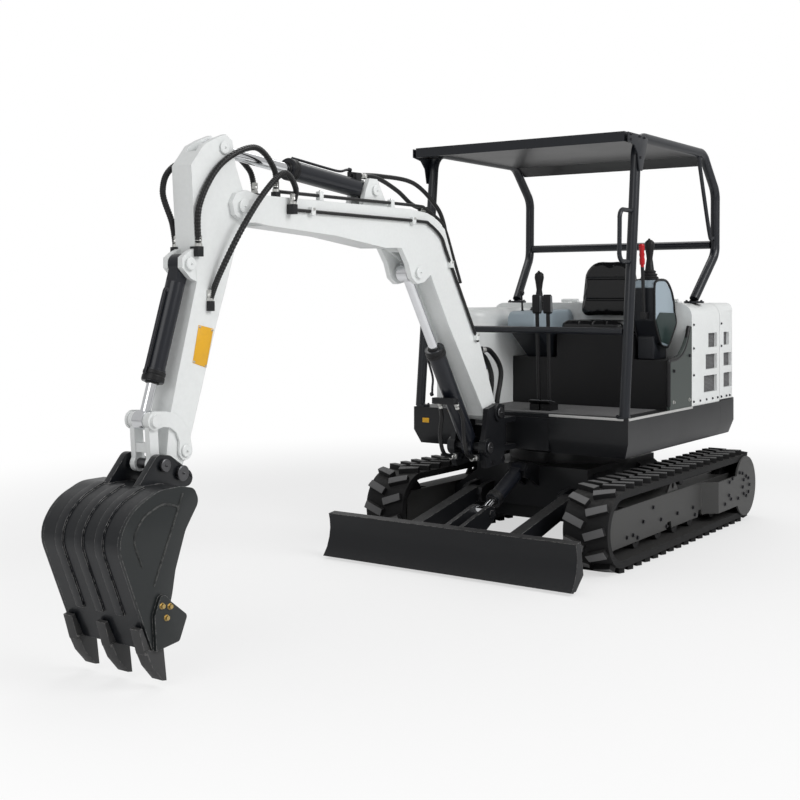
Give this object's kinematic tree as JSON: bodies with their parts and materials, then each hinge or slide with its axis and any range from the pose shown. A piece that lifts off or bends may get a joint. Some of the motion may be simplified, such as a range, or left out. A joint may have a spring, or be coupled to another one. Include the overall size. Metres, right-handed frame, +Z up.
{
  "type": "mini excavator",
  "caption": "Tracked mini excavator with a tube canopy, swing boom, arm and toothed bucket moved by hydraulic cylinders, and a front blade for levelling and backfill.",
  "frame": {"origin": "on the ground under the slew axis, midway between the tracks", "axes": "+X forward towards the bucket, +Y to the operator's left, +Z up"},
  "size_m": [4.94, 1.532, 2.3284],
  "materials": {
    "charcoal_paint": "satin",
    "frame_grey": "satin",
    "wheel_iron": "satin",
    "track_rubber": "matte",
    "cylinder_paint": "gloss",
    "rod_chrome": "polished",
    "white_paint": "gloss",
    "engine_iron": "matte",
    "green_grey_paint": "satin",
    "black_plastic": "matte",
    "seat_vinyl": "gloss",
    "console_plastic": "satin",
    "red_plastic": "gloss",
    "slate_paint": "satin",
    "bucket_paint": "satin",
    "tooth_iron": "satin"
  },
  "bodies": {
    "undercarriage": {"car_body": "charcoal_paint", "slew_ring": "wheel_iron", "left_track_frame": "frame_grey", "right_track_frame": "frame_grey", "left_track": "track_rubber", "right_track": "track_rubber", "idlers": "wheel_iron", "sprockets": "wheel_iron", "track_rollers": "wheel_iron", "travel_motors": "charcoal_paint"},
    "blade": {"blade": "charcoal_paint"},
    "blade_barrel": {"blade_cylinder_barrel": "cylinder_paint"},
    "blade_rod": {"blade_cylinder_rod": "rod_chrome"},
    "house": {"house_frame": "charcoal_paint", "left_skirt": "charcoal_paint", "right_skirt": "charcoal_paint", "counterweight": "charcoal_paint", "deck": "charcoal_paint", "engine_hood": "white_paint", "engine": "engine_iron", "right_cover": "white_paint", "left_panel": "green_grey_paint", "seat_base": "black_plastic", "seat_cushion": "seat_vinyl", "seat_back": "seat_vinyl", "left_console": "console_plastic", "right_console": "console_plastic", "joysticks": "black_plastic", "travel_levers": "black_plastic", "hand_levers": "red_plastic", "left_hoop": "slate_paint", "right_hoop": "slate_paint", "canopy_bars": "slate_paint", "canopy_roof": "slate_paint", "grab_handle": "slate_paint"},
    "engine_cover": {"engine_cover": "white_paint"},
    "swing_bracket": {"swing_bracket": "charcoal_paint"},
    "boom": {"boom": "white_paint"},
    "boom_barrel": {"boom_cylinder_barrel": "cylinder_paint"},
    "boom_rod": {"boom_cylinder_rod": "rod_chrome"},
    "arm": {"arm": "white_paint"},
    "arm_barrel": {"arm_cylinder_barrel": "cylinder_paint"},
    "arm_rod": {"arm_cylinder_rod": "rod_chrome"},
    "bucket": {"bucket": "bucket_paint", "bucket_teeth": "tooth_iron"},
    "guide_link": {"guide_link": "white_paint"},
    "bucket_link": {"bucket_link": "white_paint"},
    "bucket_barrel": {"bucket_cylinder_barrel": "cylinder_paint"},
    "bucket_rod": {"bucket_cylinder_rod": "rod_chrome"}
  },
  "joints": [
    {"name": "house_slew", "type": "hinge", "parent": "undercarriage", "child": "house", "pos_m": [0, 0, 0.566], "axis": [0, 0, 1], "continuous": true},
    {"name": "engine_cover_lid", "type": "hinge", "parent": "house", "child": "engine_cover", "pos_m": [-0.694, 0, 1.402], "axis": [0, 1, 0], "range_deg": [0, 55]},
    {"name": "boom_swing", "type": "hinge", "parent": "house", "child": "swing_bracket", "pos_m": [0.8, -0.06, 0.66], "axis": [0, 0, -1], "range_deg": [-70, 55]},
    {"name": "boom_lift", "type": "hinge", "parent": "swing_bracket", "child": "boom", "pos_m": [0.955, -0.06, 0.8], "axis": [0, -1, 0], "range_deg": [-65, 38]},
    {"name": "boom_barrel_tilt", "type": "hinge", "parent": "swing_bracket", "child": "boom_barrel", "pos_m": [1.066, -0.06, 0.62], "axis": [0, -1, 0], "range_deg": [-63.64, 37.62]},
    {"name": "boom_rod_slide", "type": "slide", "parent": "boom_barrel", "child": "boom_rod", "axis": [0.5541, 0, 0.8325], "range_m": [-0.21489, 0.12729]},
    {"name": "arm_crowd", "type": "hinge", "parent": "boom", "child": "arm", "pos_m": [2.97, -0.06, 1.797], "axis": [0, 1, 0], "range_deg": [-65, 50]},
    {"name": "arm_barrel_tilt", "type": "hinge", "parent": "boom", "child": "arm_barrel", "pos_m": [2.017, -0.06, 1.93], "axis": [0, 1, 0], "range_deg": [-5.92, 4.78]},
    {"name": "arm_rod_slide", "type": "slide", "parent": "arm_barrel", "child": "arm_rod", "axis": [0.9955, 0, 0.0944], "range_m": [-0.24358, 0.18829]},
    {"name": "bucket_curl", "type": "hinge", "parent": "arm", "child": "bucket", "pos_m": [3.347, -0.06, 0.753], "axis": [0, 1, 0], "range_deg": [-25, 130]},
    {"name": "guide_link_turn", "type": "hinge", "parent": "arm", "child": "guide_link", "pos_m": [3.287, -0.06, 0.83], "axis": [0, 1, 0], "range_deg": [-14.13, 69.26]},
    {"name": "bucket_link_turn", "type": "hinge", "parent": "bucket", "child": "bucket_link", "pos_m": [3.438, -0.06, 0.792], "axis": [0, 1, 0], "range_deg": [-77.19, 15.65]},
    {"name": "bucket_barrel_tilt", "type": "hinge", "parent": "arm", "child": "bucket_barrel", "pos_m": [3.255, -0.06, 1.556], "axis": [0, 1, 0], "range_deg": [-1.4, 3.08]},
    {"name": "bucket_rod_slide", "type": "slide", "parent": "bucket_barrel", "child": "bucket_rod", "axis": [0.31, 0, -0.9507], "range_m": [-0.04742, 0.2298]},
    {"name": "blade_lift", "type": "hinge", "parent": "undercarriage", "child": "blade", "pos_m": [0.6, 0, 0.285], "axis": [0, -1, 0], "range_deg": [-18, 18]},
    {"name": "blade_barrel_tilt", "type": "hinge", "parent": "undercarriage", "child": "blade_barrel", "pos_m": [0.63, 0, 0.45], "axis": [0, -1, 0], "range_deg": [-17.33, 17.33]},
    {"name": "blade_rod_slide", "type": "slide", "parent": "blade_barrel", "child": "blade_rod", "axis": [0.9073, 0, -0.4205], "range_m": [-0.05456, 0.05456]}
  ],
  "couplings": [
    {"joint": "boom_barrel_tilt", "follows": "boom_lift", "ratio": 0.96368},
    {"joint": "boom_rod_slide", "follows": "boom_lift", "m_per_rad": 0.18589},
    {"joint": "arm_barrel_tilt", "follows": "arm_crowd", "ratio": 0.075646},
    {"joint": "arm_rod_slide", "follows": "arm_crowd", "m_per_rad": 0.21118},
    {"joint": "guide_link_turn", "follows": "bucket_curl", "ratio": 0.5251},
    {"joint": "bucket_link_turn", "follows": "bucket_curl", "ratio": -0.5861},
    {"joint": "bucket_barrel_tilt", "follows": "bucket_curl", "ratio": 0.016},
    {"joint": "bucket_rod_slide", "follows": "bucket_curl", "m_per_rad": 0.09952},
    {"joint": "blade_barrel_tilt", "follows": "blade_lift", "ratio": 0.90744},
    {"joint": "blade_rod_slide", "follows": "blade_lift", "m_per_rad": -0.16095}
  ]
}
